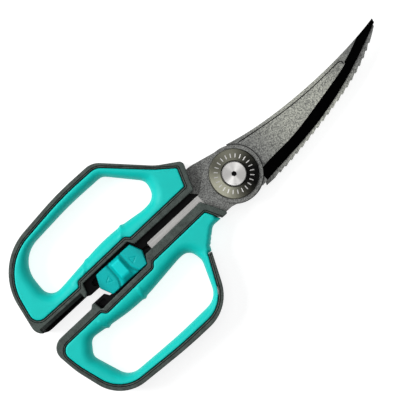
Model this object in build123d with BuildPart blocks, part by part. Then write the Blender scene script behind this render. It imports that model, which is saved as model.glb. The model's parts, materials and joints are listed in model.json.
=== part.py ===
from build123d import *
import math
import os

# Poultry shears with a slide lock, lying flat and closed.  Millimetres.
# Origin: pivot axis, on the plane the shears rest on.  +X runs to the blade tips,
# +Y to the upper handle, +Z up to the side with the screw head.

os.makedirs("parts", exist_ok=True)

# ---------------------------------------------------------------- driving dimensions
# Heights of the stack at the pivot
stock = 3.2                 # blade steel thickness
blade_gap = 0.1             # clearance between the two blades
rear_z0 = 5.25              # back face of the rear blade
rear_z1 = rear_z0 + stock
front_z0 = rear_z1 + blade_gap
front_z1 = front_z0 + stock
edge_flat = 0.35            # steel left at a cutting edge
panel_depth = 0.4           # shallow recess in the front blade's face

# Pivot
hub_r = 17.4                # round hub of each blade
hub_drop = 0.4              # the hub's centre lies this far below the pivot axis
boss_r = 17.2               # raised ring round the disc seat
boss_rise = 0.8
seat_r = 15.0
disc_r = 14.7
disc_t = 2.0
head_r = 7.2
head_z1 = 15.0
shank_r = 4.0
running_clearance = 0.05
bush_r = 5.5
washer_r = 9.5
washer_seat = 0.25          # depth of the washer's recess in each blade
head_t = 2.0
head_chamfer = 0.4
stop_orbit = 11.6           # distance of the stop pin from the pivot axis
stop_r = 1.25
stop_angle = 200.0          # where the stop pin stands, degrees round the pivot
open_angle = 40.0           # full opening of the blades, degrees
socket_flats = 2.9
socket_depth = 1.4
mark_count = 24             # radial marks sunk in the disc
mark_orbit = 10.7
mark_depth = 0.25

# Rear housing, nut and spring
cup_floor = 1.4
cup_inner_r = 13.0
nut_r = 7.2
nut_flange = 1.2
nut_hole_x = 4.6            # two holes for the nut's key
nut_hole_r = 1.0
nut_hole_depth = 0.8
sleeve_r = 5.6
wave_t = 0.3
spring_t = 0.9
spring_inner_r = 6.7
spring_growth = 1.7         # per turn
spring_half_turns = 6
spring_z0 = 1.7
spring_z1 = 4.7

# Scaling teeth along the rear blade's back
first_tooth = 7.0           # from the hub end of the toothed edge
tooth_pitch = 4.9
tooth_depth = 0.8
tooth_count = 20

# Handles
handle_t = 17.0             # thickness over the rubber
rim_step = 0.6              # the hard rim lies this far below the rubber
web_z0 = 5.0                # hard web that the rubber wraps
web_z1 = 12.0
shelf_top = 8.2             # half-lap level: shelves and ledges of the upper handle
shelf_bottom = 4.6
groove = 0.5                # shadow groove between rim and rubber
loop_skin = 3.0             # rubber thickness inside the finger loops
loop_round = 3.5            # round of the rubber into the upper finger loop
lower_loop_round = 1.2      # and into the lower one
rim_round = 0.6
bead_width = 0.65           # bead left on the rim beside the rubber
bead_groove = 0.45          # width of the groove that sets the bead off
bead_depth = 0.5
cracker_pitch = 1.3         # fine ribs on the inner flank of the upper handle
cracker_ribs = 7
rim_z0 = rim_step
rim_z1 = handle_t - rim_step

# Slide lock
lock_travel = 8.0
carrier_z0 = shelf_top + 0.2
carrier_z1 = 11.2
button_z1 = 15.6
ridge_z1 = 16.8
boss_y = 7.0                # the two bosses run in a slot of the upper handle's shelf
boss_x = (-95.0, -79.0)
lock_boss_r = 1.9
screw_r = 1.0
retainer_z0 = 2.4
retainer_z1 = shelf_bottom - 0.2
bay_x = -91.2               # bay under the shelf for the retainer
bay_length = 38.0
bay_y = 7.0
bay_width = 8.0
cover_t = 0.7
notch_depth = 0.6           # notches that hold the lock at each end
leaf_x = -87.0              # the detent leaf's crest
leaf_y = 4.05


# ---------------------------------------------------------------- handle outlines
# Upper handle, seen from above, as far as its top half reaches
with BuildSketch() as upper_outline:
    with BuildLine():
        FilletPolyline(
            (-17.3, 25.6), (-31, 34.2), (-57.4, 60.4), (-85, 60.4), (-140.2, 53.4), (-149.2, 3.6),
            (-112.4, 4.2), (-110.2, 6.0), (-108.4, 11.4), (-72.8, 12.2), (-70.4, 8.4), (-24.0, 8.8),
            radius=[3, 30, 12, 200, 36, 7, 0.8, 1, 1, 1, 0.8, 0.8], close=True,
        )
    make_face()

# Lower half of the same handle: it reaches under the slot and carries the lock's shelf
with BuildSketch() as upper_shelf_outline:
    with BuildLine():
        FilletPolyline(
            (-112.4, 4.2), (-110.2, 3.2), (-67.0, 3.2), (-64.0, 2.0), (-23.4, 3.5), (-20.8, 12.0),
            (-112.4, 14.5),
            radius=[0, 1, 1, 1, 0, 0, 0], close=True,
        )
    make_face()

with BuildSketch() as upper_rubber:
    with BuildLine():
        FilletPolyline(
            (-22.0, 24.7), (-33, 33.4), (-57.6, 57.0), (-84, 57.1), (-137.6, 50.2), (-145.6, 10.8),
            (-111.4, 10.8), (-109.4, 14.0), (-72.4, 15.0), (-69.8, 12.4), (-26.2, 13.4),
            radius=[0.8, 40, 9, 200, 33, 6, 1, 1, 1, 1, 0.8], close=True,
        )
    make_face()

with BuildSketch() as upper_hole:
    with BuildLine():
        FilletPolyline(
            (-129.3, 17.2), (-127.8, 47.0), (-84, 50.9), (-58.6, 50.8), (-41.2, 31.6), (-44.0, 20.6),
            (-54, 20.0), (-80, 23.0), (-117, 18.4),
            radius=[7, 18, 200, 5, 6, 8, 12, 120, 10], close=True,
        )
    make_face()

# Lower handle
with BuildSketch() as lower_outline:
    with BuildLine():
        FilletPolyline(
            (-25.8, 1.1), (-17.2, -14.6), (-29.6, -14.2), (-38.8, -22.4), (-54.2, -56.6), (-86, -57.4),
            (-136.4, -54.8), (-145.4, -24), (-148.0, -3.7), (-114.6, -3.0), (-112.6, -1.2), (-110.9, -1.2),
            (-110.0, -7.2), (-72.8, -5.6), (-69.8, -0.4),
            radius=[0.5, 1.2, 5, 7, 25, 300, 24, 60, 8, 1, 1, 0.5, 1, 1, 0.8], close=True,
        )
    make_face()

# Nose of the lower handle under the lock: a hook with a hollow behind it
with BuildSketch() as lower_nose:
    with BuildLine():
        FilletPolyline(
            (-112.0, -8.4), (-112.6, -1.2), (-103.9, -1.2), (-102.0, -4.2), (-76.4, -3.8), (-75.0, 2.3),
            (-70.0, 2.2), (-64.2, 0.9), (-64.2, -7.4),
            radius=[0, 0.8, 1.2, 1, 0.5, 0.5, 0, 0, 0], close=True,
        )
    make_face()

with BuildSketch() as lower_rubber:
    with BuildLine():
        FilletPolyline(
            (-27.4, -5.0), (-20.2, -18.6), (-34, -28.2), (-42.2, -24.6), (-56.2, -53.2), (-90, -53.9),
            (-133.6, -51.6), (-142.2, -24), (-144.9, -8.8), (-111.6, -8.0), (-109.2, -10.8), (-71.8, -9.3),
            (-69.4, -6.3),
            radius=[0.8, 0, 0, 1.2, 20, 300, 21, 60, 6, 1, 1, 1, 1], close=True,
        )
    make_face()

with BuildSketch() as lower_hole:
    with BuildLine():
        FilletPolyline(
            (-132.9, -24.4), (-124.6, -47.6), (-86, -48.6), (-56.6, -47.4), (-47.6, -25), (-49.6, -15.2),
            (-58, -15.4), (-92, -20.0), (-126.6, -15.8),
            radius=[4.5, 9.5, 300, 11, 6, 6, 10, 100, 5], close=True,
        )
    make_face()

# Strip along the bare flank of the lower handle, where rubber wraps the hard web
with BuildSketch() as lower_flank:
    with BuildLine():
        Polyline(
            (-19, -20), (-19.5, -11.6), (-30.4, -11.6), (-40.6, -20.6), (-42.6, -25.4), (-38, -30),
            close=True,
        )
    make_face()

# ---------------------------------------------------------------- blade outlines
front_spine = [(8, 15.9), (22, 12.8), (41, 10.4), (65.5, 9.25), (96.7, 10.4), (121.1, 13.7)]
front_edge = [(120.7, 11.1), (102.3, 3.2), (76.3, -5.9), (44.2, -12.4), (20, -14.9), (8, -16.4)]
rear_edge = [(119.4, 10.4), (100, 6.6), (60, 1.0), (16, -2.0)]
rear_back = [(10, -17.9), (22, -17.6), (47.3, -14.2), (78.5, -8.1), (106.9, 1.9), (119.2, 9.6)]

with BuildSketch() as front_plan:
    with BuildLine():
        Spline(*front_spine)
        Line(front_spine[-1], front_edge[0])
        Spline(*front_edge)
        Line(front_edge[-1], front_spine[0])
    make_face()
    with Locations((0, -hub_drop)):
        Circle(hub_r)
    with BuildLine():
        FilletPolyline(
            (-6, 16), (-14.5, 11.8), (-23.2, 4.8), (-65.0, 4.1), (-65.0, -2.6), (-33, -4.0), (-23, -13.4),
            (-13.6, -13.4), (0, -17.4),
            radius=[0, 6, 2.5, 1, 1.5, 4, 1, 4, 0], close=True,
        )
    make_face()

with BuildSketch() as rear_plan:
    with BuildLine():
        Spline(*rear_back)
        Line(rear_back[-1], rear_edge[0])
        Spline(*rear_edge)
        Line(rear_edge[-1], rear_back[0])
    make_face()
    with Locations((0, -hub_drop)):
        Circle(hub_r)
    with BuildLine():
        FilletPolyline(
            (4, 16.2), (-18.4, 21.2), (-34, 18.2), (-64, 17.2), (-64, 10.2), (-28, 9.8), (-23.6, 5.2),
            (-12, -10),
            radius=[0, 20, 10, 1.5, 1.5, 4, 2, 0], close=True,
        )
    make_face()

# Bevel of the front blade: (distance along the blade, where the bevel starts, where it ends)
front_bevel = [
    (12.2, -9.4, -16.0), (28, -7.3, -14.1), (51, -4.75, -11.4), (74, 0.1, -6.5), (91, 4.3, -1.5),
    (108, 11.1, 5.4), (122, 16.0, 11.6),
]
rear_bevel = [
    (18, -8.0, -1.9), (40, -6.4, -0.6), (60, -4.4, 1.0), (80, -1.2, 3.5), (100, 3.0, 6.6), (122, 9.6, 11.0),
]

with BuildSketch() as panel:
    with BuildLine():
        Spline((6, 13.2), (22, 11.1), (41, 8.5), (65, 7.2), (89.3, 8.2))
        RadiusArc((89.3, 8.2), (91.3, 4.6), 2.2)
        Polyline((91.3, 4.6), (60, -10), (6, -14), (6, 13.2))
    make_face()


def bevel_sections(stations, z_start, z_end, z_far):
    """Triangles across the blade; lofted, they are the steel that grinding a bevel removes."""
    sections = []
    for x, y_start, y_end in stations:
        slope = (z_end - z_start) / (y_end - y_start)
        y_far = y_start + (z_far - z_start) / slope
        y_past = y_end + (y_end - y_start) * 0.4
        z_past = z_start + slope * (y_past - y_start)
        with BuildSketch(Plane.YZ.offset(x)) as section:
            with BuildLine():
                Polyline((y_far, z_far), (y_past, z_past), (y_past, z_far), close=True)
            make_face()
        sections.append(section.sketch)
    return sections


# ---------------------------------------------------------------- front blade
with BuildPart() as front_blade:
    with BuildSketch(Plane.XY.offset(front_z0)):
        add(front_plan.sketch)
    extrude(amount=stock)
    loft(
        bevel_sections(front_bevel, front_z1 - panel_depth, front_z0 + edge_flat, front_z1 + 1.5),
        mode=Mode.SUBTRACT,
    )
    # shallow panel in the face, below a rim along the spine
    with BuildSketch(Plane.XY.offset(front_z1)):
        add(panel.sketch)
    extrude(amount=-panel_depth, mode=Mode.SUBTRACT)
    # raised ring round the disc
    with BuildSketch(Plane.XY.offset(front_z1 - panel_depth)):
        Circle(boss_r)
        add(front_plan.sketch, mode=Mode.INTERSECT)
    extrude(amount=panel_depth + boss_rise)
    with BuildSketch(Plane.XY.offset(front_z1)):
        Circle(seat_r)
    extrude(amount=boss_rise, mode=Mode.SUBTRACT)
    # bore, washer recess and the slot for the stop pin
    with BuildSketch(Plane.XY.offset(front_z0)):
        Circle(shank_r)
        SlotArc(CenterArc((0, 0), stop_orbit, stop_angle - open_angle - 1, open_angle + 2, mode=Mode.PRIVATE),
                height=2 * (stop_r + 0.2))
    extrude(amount=stock, mode=Mode.SUBTRACT)
    with BuildSketch(Plane.XY.offset(front_z0)):
        Circle(washer_r + 0.3)
    extrude(amount=washer_seat, mode=Mode.SUBTRACT)
front_blade.part.label = "front_blade"
export_step(front_blade.part, "parts/front_blade.step")

# ---------------------------------------------------------------- rear blade
with BuildLine(mode=Mode.PRIVATE) as back_line:
    Spline(*rear_back)

with BuildPart() as rear_blade:
    with BuildSketch(Plane.XY.offset(rear_z0)):
        add(rear_plan.sketch)
    extrude(amount=stock)
    loft(
        bevel_sections(rear_bevel, rear_z0, rear_z1 - edge_flat, rear_z0 - 2.0),
        mode=Mode.SUBTRACT,
    )
    # scaling teeth: a scallop that deepens towards the tip and ends in a step
    back_edge = back_line.edges()[0]
    for tooth in range(tooth_count):
        reach = (first_tooth + tooth * tooth_pitch) / back_edge.length
        root = back_edge.position_at(reach)
        with BuildSketch(Plane((root.X, root.Y, rear_z0), x_dir=back_edge.tangent_at(reach))):
            with BuildLine():
                Polyline(
                    (0, -1), (0, 0.1), (tooth_pitch * 0.72, tooth_depth), (tooth_pitch * 0.9, -1),
                    close=True,
                )
            make_face()
        extrude(amount=stock, mode=Mode.SUBTRACT)
    # bore for the bush, washer recess, hole for the stop pin
    with BuildSketch(Plane.XY.offset(rear_z0)):
        Circle(bush_r)
        with Locations((stop_orbit * math.cos(math.radians(stop_angle)),
                        stop_orbit * math.sin(math.radians(stop_angle)))):
            Circle(stop_r)
    extrude(amount=stock, mode=Mode.SUBTRACT)
    with BuildSketch(Plane.XY.offset(rear_z1)):
        Circle(washer_r)
    extrude(amount=-washer_seat, mode=Mode.SUBTRACT)
rear_blade.part.label = "rear_blade"
export_step(rear_blade.part, "parts/rear_blade.step")


# ---------------------------------------------------------------- handles
def hollow_for(blade_plan, z_low):
    """The room that a tang takes inside its moulded frame."""
    with BuildPart() as tang:
        with BuildSketch(Plane.XY.offset(z_low)):
            add(blade_plan.sketch)
        extrude(amount=stock)
    return tang.part


def flat(point):
    return Vector(point.X, point.Y, 0)


def level_edges(prism):
    """All edges of a prism's highest and lowest faces."""
    return prism.faces().sort_by(Axis.Z)[-1].edges() + prism.faces().sort_by(Axis.Z)[0].edges()


def loop_rims(grip, hole):
    """The front and back edges of a grip that follow its finger loop."""
    outline = hole.edges()
    rims = []
    for edge in grip.edges().filter_by(lambda one: abs(one.tangent_at(0.5).Z) < 0.5):
        middle = flat(edge @ 0.5)
        nearest = min(outline, key=lambda other: (middle - other @ 0.5).length)
        if nearest.distance_to(middle) < 0.01:
            rims.append(edge)
    return rims


with BuildSketch() as upper_skin:
    add(upper_hole.sketch)
    offset(amount=loop_skin)

with BuildSketch() as lower_skin:
    add(lower_hole.sketch)
    offset(amount=loop_skin)

# Grooves that set a bead off from the rest of each rim
with BuildSketch() as upper_bead:
    add(upper_rubber.sketch)
    offset(amount=bead_width + bead_groove)
    with BuildSketch(mode=Mode.SUBTRACT):
        add(upper_rubber.sketch)
        offset(amount=bead_width)

with BuildSketch() as lower_bead:
    add(lower_rubber.sketch)
    offset(amount=bead_width + bead_groove)
    with BuildSketch(mode=Mode.SUBTRACT):
        add(lower_rubber.sketch)
        offset(amount=bead_width)

with BuildSketch() as upper_rim:
    add(upper_outline.sketch)
    add(upper_rubber.sketch, mode=Mode.SUBTRACT)

with BuildSketch() as lower_rim:
    add(lower_outline.sketch)
    add(lower_rubber.sketch, mode=Mode.SUBTRACT)

with BuildPart() as upper_handle_frame:
    with BuildSketch(Plane.XY.offset(rim_z0)):
        add(upper_rim.sketch)
    extrude(amount=rim_z1 - rim_z0)
    fillet(level_edges(upper_handle_frame), rim_round)
    with BuildSketch(Plane.XY.offset(rim_z1)):
        add(upper_bead.sketch)
    extrude(amount=-bead_depth, mode=Mode.SUBTRACT)
    # inner flank of the upper handle slopes away towards its middle height
    with BuildSketch(Plane.YZ.offset(-113.0)):
        with BuildLine():
            Polyline((8.2, rim_z1), (3.0, rim_z1), (3.0, 9.5), (4.6, 9.5), close=True)
        make_face()
    extrude(amount=-32, mode=Mode.SUBTRACT)
    # hard web inside the rubber
    with BuildSketch(Plane.XY.offset(web_z0)):
        add(upper_rubber.sketch)
        add(upper_skin.sketch, mode=Mode.SUBTRACT)
    extrude(amount=web_z1 - web_z0)
    # lower half: ledge under the slot, and the lock's shelf
    with BuildSketch(Plane.XY.offset(rim_z0)):
        add(upper_shelf_outline.sketch)
        add(upper_rubber.sketch, mode=Mode.SUBTRACT)
    extrude(amount=shelf_top - rim_z0)
    # lip under the lower handle's shelf, which closes the joint between the two
    with BuildSketch(Plane.XY.offset(rim_z0)):
        with Locations((-70.4, 2.2)):
            Rectangle(12.0, 3.0)
    extrude(amount=shelf_bottom - 0.3 - rim_z0)
    # bay under the shelf for the lock's retainer
    with BuildSketch(Plane.XY.offset(rim_z0)):
        with Locations((bay_x, bay_y)):
            RectangleRounded(bay_length, bay_width, 1.5)
    extrude(amount=shelf_bottom - rim_z0, mode=Mode.SUBTRACT)
    with BuildSketch(Plane.XY.offset(shelf_bottom)):
        with Locations(((boss_x[0] + boss_x[1] - lock_travel) / 2, boss_y)):
            SlotCenterToCenter(boss_x[1] - boss_x[0] + lock_travel, 2 * (lock_boss_r + 0.25))
    extrude(amount=shelf_top - shelf_bottom, mode=Mode.SUBTRACT)
    # two notches for the detent leaf
    with BuildSketch(Plane.XY.offset(shelf_top)):
        with Locations((leaf_x, leaf_y), (leaf_x - lock_travel, leaf_y)):
            Rectangle(1.8, 1.7)
    extrude(amount=-notch_depth, mode=Mode.SUBTRACT)
    add(hollow_for(rear_plan, rear_z0), mode=Mode.SUBTRACT)
    # fine ribs on the sloping flank
    for first_rib in (-143.0, -125.0):
        with BuildSketch(Plane.XY.offset(6.0)):
            with Locations([(first_rib + rib * cracker_pitch, 5.0) for rib in range(cracker_ribs)]):
                Rectangle(0.7, 1.5)
        extrude(amount=5.0)
upper_handle_frame.part.label = "upper_handle_frame"
export_step(upper_handle_frame.part, "parts/upper_handle_frame.step")

with BuildPart() as upper_grip:
    with BuildSketch():
        add(upper_rubber.sketch)
        offset(amount=-groove)
    extrude(amount=handle_t)
    with BuildSketch():
        add(upper_hole.sketch)
    extrude(amount=handle_t, mode=Mode.SUBTRACT)
    fillet(loop_rims(upper_grip, upper_hole.sketch), loop_round)
    with BuildSketch(Plane.XY.offset(web_z0)):
        add(upper_rubber.sketch)
        add(upper_skin.sketch, mode=Mode.SUBTRACT)
    extrude(amount=web_z1 - web_z0, mode=Mode.SUBTRACT)
    add(hollow_for(rear_plan, rear_z0), mode=Mode.SUBTRACT)
upper_grip.part.label = "upper_grip"
export_step(upper_grip.part, "parts/upper_grip.step")

with BuildPart() as lower_handle_frame:
    with BuildSketch(Plane.XY.offset(rim_z0)):
        add(lower_rim.sketch)
    extrude(amount=rim_z1 - rim_z0)
    fillet(level_edges(lower_handle_frame), rim_round)
    with BuildSketch(Plane.XY.offset(rim_z1)):
        add(lower_bead.sketch)
    extrude(amount=-bead_depth, mode=Mode.SUBTRACT)
    with BuildSketch(Plane.XY.offset(web_z0)):
        add(lower_outline.sketch)
        add(lower_rubber.sketch, mode=Mode.INTERSECT)
        add(lower_skin.sketch, mode=Mode.SUBTRACT)
        add(lower_flank.sketch, mode=Mode.SUBTRACT)
    extrude(amount=web_z1 - web_z0)
    with BuildSketch(Plane.XY.offset(shelf_bottom)):
        add(lower_nose.sketch)
        add(lower_rubber.sketch, mode=Mode.SUBTRACT)
    extrude(amount=shelf_top - shelf_bottom)
    # hollow behind the hook
    with BuildSketch(Plane.XY.offset(shelf_top)):
        with Locations((-107.6, -4.8)):
            RectangleRounded(4.4, 3.6, 0.8)
    extrude(amount=-2.4, mode=Mode.SUBTRACT)
    # room below the slot for the upper handle's ledge
    with BuildSketch(Plane.XY.offset(rim_z0)):
        with BuildLine():
            Polyline((-16, 12), (-25.0, 2.6), (-64.0, 1.2), (-70.0, 2.4), (-70.0, 12), close=True)
        make_face()
    extrude(amount=shelf_top + 0.2 - rim_z0, mode=Mode.SUBTRACT)
    add(hollow_for(front_plan, front_z0), mode=Mode.SUBTRACT)
lower_handle_frame.part.label = "lower_handle_frame"
export_step(lower_handle_frame.part, "parts/lower_handle_frame.step")

with BuildPart() as lower_grip:
    with BuildSketch():
        add(lower_rubber.sketch)
        offset(amount=-groove)
        add(lower_outline.sketch, mode=Mode.INTERSECT)
    extrude(amount=handle_t)
    with BuildSketch():
        add(lower_hole.sketch)
    extrude(amount=handle_t, mode=Mode.SUBTRACT)
    fillet(loop_rims(lower_grip, lower_hole.sketch), lower_loop_round)
    with BuildSketch(Plane.XY.offset(web_z0)):
        add(lower_outline.sketch)
        add(lower_rubber.sketch, mode=Mode.INTERSECT)
        add(lower_skin.sketch, mode=Mode.SUBTRACT)
        add(lower_flank.sketch, mode=Mode.SUBTRACT)
    extrude(amount=web_z1 - web_z0, mode=Mode.SUBTRACT)
    add(hollow_for(front_plan, front_z0), mode=Mode.SUBTRACT)
lower_grip.part.label = "lower_grip"
export_step(lower_grip.part, "parts/lower_grip.step")

# ---------------------------------------------------------------- pivot
with BuildPart() as pivot_screw:
    with BuildSketch(Plane.XY.offset(head_z1 - head_t)):
        Circle(head_r)
    extrude(amount=head_t)
    chamfer(pivot_screw.faces().sort_by(Axis.Z)[-1].edges(), head_chamfer)
    with BuildSketch(Plane.XY.offset(head_z1)):
        RegularPolygon(socket_flats / 2, 6, major_radius=False)
    extrude(amount=-socket_depth, mode=Mode.SUBTRACT)
    with BuildSketch(Plane.XY.offset(nut_flange)):
        Circle(shank_r)
    extrude(amount=head_z1 - head_t - nut_flange)
pivot_screw.part.label = "pivot_screw"
export_step(pivot_screw.part, "parts/pivot_screw.step")

with BuildPart() as front_disc:
    with BuildSketch(Plane.XY.offset(front_z1)):
        Circle(disc_r)
        Circle(shank_r, mode=Mode.SUBTRACT)
    extrude(amount=disc_t)
    top_circles = front_disc.edges().filter_by(GeomType.CIRCLE).group_by(Axis.Z)[-1]
    chamfer(top_circles.sort_by(SortBy.RADIUS)[-1], 0.5)
    with BuildSketch(Plane.XY.offset(front_z1 + disc_t)):
        Circle(head_r + 0.8)
    extrude(amount=-(front_z1 + disc_t - (head_z1 - head_t)), mode=Mode.SUBTRACT)
    # ring of short radial marks
    with BuildSketch(Plane.XY.offset(front_z1 + disc_t)):
        with PolarLocations(mark_orbit, mark_count):
            SlotOverall(3.0, 0.7)
    extrude(amount=-mark_depth, mode=Mode.SUBTRACT)
front_disc.part.label = "front_disc"
export_step(front_disc.part, "parts/front_disc.step")

with BuildPart() as blade_washer:
    with BuildSketch(Plane.XY.offset(rear_z1 - washer_seat)):
        Circle(washer_r - 0.2)
        Circle(bush_r + 0.3, mode=Mode.SUBTRACT)
    extrude(amount=washer_seat + blade_gap + 0.2)
blade_washer.part.label = "blade_washer"
export_step(blade_washer.part, "parts/blade_washer.step")

with BuildPart() as pivot_bush:
    with BuildSketch(Plane.XY.offset(rear_z0)):
        Circle(bush_r)
        Circle(shank_r + running_clearance, mode=Mode.SUBTRACT)
    extrude(amount=stock)
pivot_bush.part.label = "pivot_bush"
export_step(pivot_bush.part, "parts/pivot_bush.step")

with BuildPart() as stop_pin:
    with BuildSketch(Plane.XY.offset(rear_z0)):
        with Locations((stop_orbit * math.cos(math.radians(stop_angle)),
                        stop_orbit * math.sin(math.radians(stop_angle)))):
            Circle(stop_r)
    extrude(amount=stock + blade_gap + stock - 0.3)
stop_pin.part.label = "stop_pin"
export_step(stop_pin.part, "parts/stop_pin.step")

with BuildPart() as pivot_nut:
    with BuildSketch():
        Circle(nut_r)
    extrude(amount=nut_flange)
    with BuildSketch(Plane.XY.offset(nut_flange)):
        Circle(sleeve_r)
        Circle(shank_r, mode=Mode.SUBTRACT)
    extrude(amount=rear_z0 - wave_t - 0.1 - nut_flange)
    with BuildSketch():
        with Locations((-nut_hole_x, 0), (nut_hole_x, 0)):
            Circle(nut_hole_r)
    extrude(amount=nut_hole_depth, mode=Mode.SUBTRACT)
    # slot for the spring's inner tab
    with BuildSketch(Plane.XY.offset(nut_flange)):
        with Locations((sleeve_r, 0)):
            Rectangle(1.8, spring_t + 0.3)
    extrude(amount=rear_z0 - nut_flange, mode=Mode.SUBTRACT)
pivot_nut.part.label = "pivot_nut"
export_step(pivot_nut.part, "parts/pivot_nut.step")

with BuildPart() as wave_washer:
    with BuildSketch(Plane.XY.offset(rear_z0 - wave_t - 0.05)):
        Circle(sleeve_r + 0.3)
        Circle(shank_r + 0.2, mode=Mode.SUBTRACT)
    extrude(amount=wave_t)
wave_washer.part.label = "wave_washer"
export_step(wave_washer.part, "parts/wave_washer.step")

with BuildPart() as spring_housing:
    with BuildSketch():
        Circle(disc_r)
    extrude(amount=rear_z0)
    chamfer(spring_housing.faces().sort_by(Axis.Z)[0].edges(), 0.5)
    with BuildSketch():
        Circle(nut_r + 0.3)
    extrude(amount=cup_floor, mode=Mode.SUBTRACT)
    with BuildSketch(Plane.XY.offset(cup_floor)):
        Circle(cup_inner_r)
        with Locations((cup_inner_r, 0)):
            Rectangle(1.4, spring_t + 0.2)
    extrude(amount=rear_z0 - cup_floor, mode=Mode.SUBTRACT)
spring_housing.part.label = "spring_housing"
export_step(spring_housing.part, "parts/spring_housing.step")

# Flat spiral spring: half rings, each a little larger than the last, with a tab at both ends
with BuildPart() as opening_spring:
    for half in range(spring_half_turns):
        radius = spring_inner_r + half * spring_growth / 2
        side = 1 - 2 * (half % 2)
        centre_x = spring_growth / 2 * (half % 2)
        with BuildSketch(Plane.XY.offset(spring_z0)):
            with Locations((centre_x, 0)):
                Circle(radius + spring_t / 2)
                Circle(radius - spring_t / 2, mode=Mode.SUBTRACT)
            with Locations((centre_x, side * cup_inner_r)):
                Rectangle(4 * cup_inner_r, 2 * cup_inner_r, mode=Mode.INTERSECT)
        extrude(amount=spring_z1 - spring_z0)
    with BuildSketch(Plane.XY.offset(spring_z0)):
        with Locations((sleeve_r + 0.2, 0)):
            Rectangle(1.4, spring_t)
        with Locations((cup_inner_r - 0.6, 0)):
            Rectangle(2.2, spring_t)
    extrude(amount=spring_z1 - spring_z0)
opening_spring.part.label = "opening_spring"
export_step(opening_spring.part, "parts/opening_spring.step")

# ---------------------------------------------------------------- slide lock
with BuildSketch() as button_plan:
    with BuildLine():
        FilletPolyline(
            (-103.0, 2.5), (-99.5, 10.2), (-72.9, 10.2), (-69.7, 2.7), (-72.7, -5.2), (-99.5, -5.2),
            radius=[0.6, 0.8, 0.8, 0.6, 0.8, 0.8], close=True,
        )
    make_face()

with BuildPart() as lock_carrier:
    with BuildSketch(Plane.XY.offset(carrier_z0)):
        add(button_plan.sketch)
        offset(amount=-0.6)
    extrude(amount=carrier_z1 - carrier_z0)
    with BuildSketch(Plane.XY.offset(retainer_z1)):
        with Locations((boss_x[0], boss_y), (boss_x[1], boss_y)):
            Circle(lock_boss_r)
    extrude(amount=carrier_z0 - retainer_z1)
    with BuildSketch(Plane.XY.offset(retainer_z1)):
        with Locations((boss_x[0], boss_y), (boss_x[1], boss_y)):
            Circle(screw_r)
    extrude(amount=4.0, mode=Mode.SUBTRACT)
    with BuildSketch(Plane.XY.offset(carrier_z0)):
        with Locations((leaf_x, leaf_y)):
            Rectangle(12.4, 2.0)
    extrude(amount=0.8, mode=Mode.SUBTRACT)
lock_carrier.part.label = "lock_carrier"
export_step(lock_carrier.part, "parts/lock_carrier.step")

with BuildPart() as lock_button:
    with BuildSketch(Plane.XY.offset(carrier_z1)):
        add(button_plan.sketch)
    extrude(amount=button_z1 - carrier_z1)
    chamfer(lock_button.faces().sort_by(Axis.Z)[-1].edges(), 0.6)
    # raised saddle across the middle
    with BuildSketch(Plane.XZ.offset(-9.6)):
        with BuildLine():
            Polyline((-92.0, button_z1), (-89.6, ridge_z1), (-83.6, ridge_z1), (-81.2, button_z1), close=True)
        make_face()
    extrude(amount=14.2)
lock_button.part.label = "lock_button"
export_step(lock_button.part, "parts/lock_button.step")

with BuildPart() as lock_retainer:
    with BuildSketch(Plane.XY.offset(retainer_z0)):
        with Locations(((boss_x[0] + boss_x[1]) / 2, boss_y)):
            RectangleRounded(24.0, 6.4, 1.2)
        with Locations((boss_x[0], boss_y), (boss_x[1], boss_y)):
            Circle(screw_r, mode=Mode.SUBTRACT)
    extrude(amount=retainer_z1 - retainer_z0)
lock_retainer.part.label = "lock_retainer"
export_step(lock_retainer.part, "parts/lock_retainer.step")

with BuildPart() as bay_cover:
    with BuildSketch(Plane.XY.offset(rim_z0)):
        with Locations((bay_x, bay_y + 0.1)):
            RectangleRounded(bay_length - 0.2, bay_width - 0.4, 1.5)
    extrude(amount=cover_t)
bay_cover.part.label = "bay_cover"
export_step(bay_cover.part, "parts/bay_cover.step")

with BuildPart() as lock_screws:
    with BuildSketch(Plane.XY.offset(retainer_z0 - 1.0)):
        with Locations((boss_x[0], boss_y), (boss_x[1], boss_y)):
            Circle(1.8)
            RegularPolygon(0.6, 6, mode=Mode.SUBTRACT)
    extrude(amount=1.0)
    with BuildSketch(Plane.XY.offset(retainer_z0 - 0.4)):
        with Locations((boss_x[0], boss_y), (boss_x[1], boss_y)):
            Circle(screw_r)
    extrude(amount=retainer_z1 + 3.8 - retainer_z0 + 0.4)
lock_screws.part.label = "lock_screws"
export_step(lock_screws.part, "parts/lock_screws.step")

with BuildPart() as detent_spring:
    with BuildSketch(Plane.XZ.offset(-4.7)):
        with BuildLine():
            Polyline(
                (-93.0, carrier_z0 + 0.7), (-93.0, carrier_z0 + 0.4), (-89.4, carrier_z0 + 0.4),
                (-87.0, shelf_top - 0.4), (-84.6, carrier_z0 + 0.4), (-81.0, carrier_z0 + 0.4),
                (-81.0, carrier_z0 + 0.7), (-84.4, carrier_z0 + 0.7), (-87.0, shelf_top),
                (-89.6, carrier_z0 + 0.7), close=True,
            )
        make_face()
    extrude(amount=1.3)
detent_spring.part.label = "detent_spring"
export_step(detent_spring.part, "parts/detent_spring.step")
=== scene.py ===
"""Poultry shears: the looks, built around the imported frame."""

import json
import math

import bmesh
import bpy
import numpy as np
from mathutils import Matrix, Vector
from mathutils.geometry import delaunay_2d_cdt


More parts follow.
